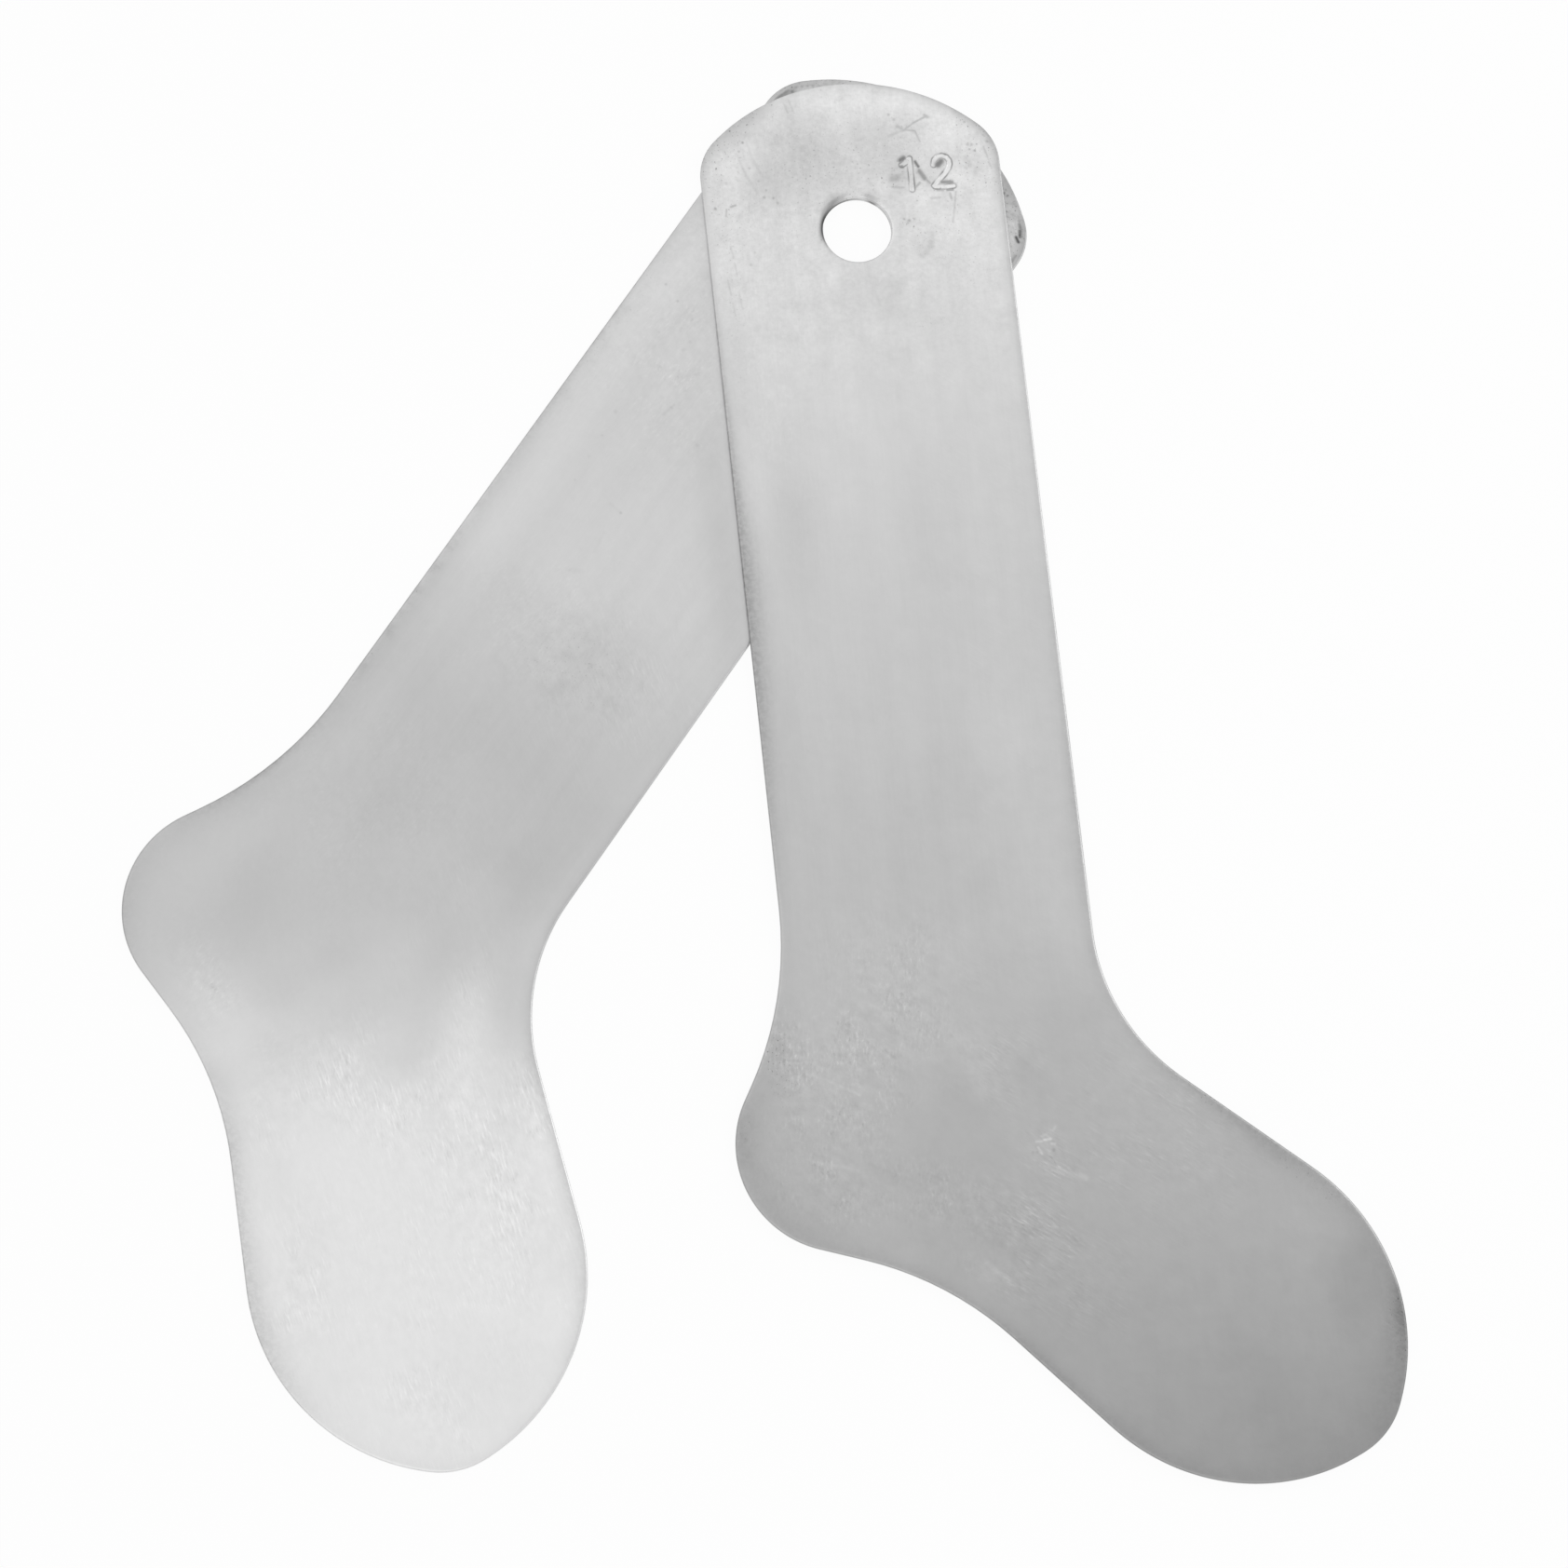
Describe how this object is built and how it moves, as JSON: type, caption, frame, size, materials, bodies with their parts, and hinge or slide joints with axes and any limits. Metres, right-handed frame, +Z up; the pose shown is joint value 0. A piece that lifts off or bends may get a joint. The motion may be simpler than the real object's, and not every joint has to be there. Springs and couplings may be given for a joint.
{
  "type": "sock stretcher",
  "caption": "Flat sock-shaped drying forms of sheet aluminium, stacked at their hanging holes and fanned apart at the feet.",
  "frame": {"origin": "on the axis of the hanging holes, at the face that the pair lies on", "axes": "+Z up from that face, +Y along the upper plate's leg from foot to top, +X towards its toe"},
  "size_m": [0.5268, 0.6473, 0.0042],
  "materials": {
    "front_sheet": "worn satin, faint brushed lines along the leg",
    "rear_sheet": "worn satin, faint brushed lines along the leg"
  },
  "bodies": {
    "rear_plate": {"rear_stretcher": "rear_sheet"},
    "front_plate": {"front_stretcher": "front_sheet"}
  },
  "joints": [
    {"name": "fan_pivot", "type": "hinge", "parent": "rear_plate", "child": "front_plate", "pos_m": [0, 0, 0.0021], "axis": [0, 0, 1], "continuous": true}
  ]
}
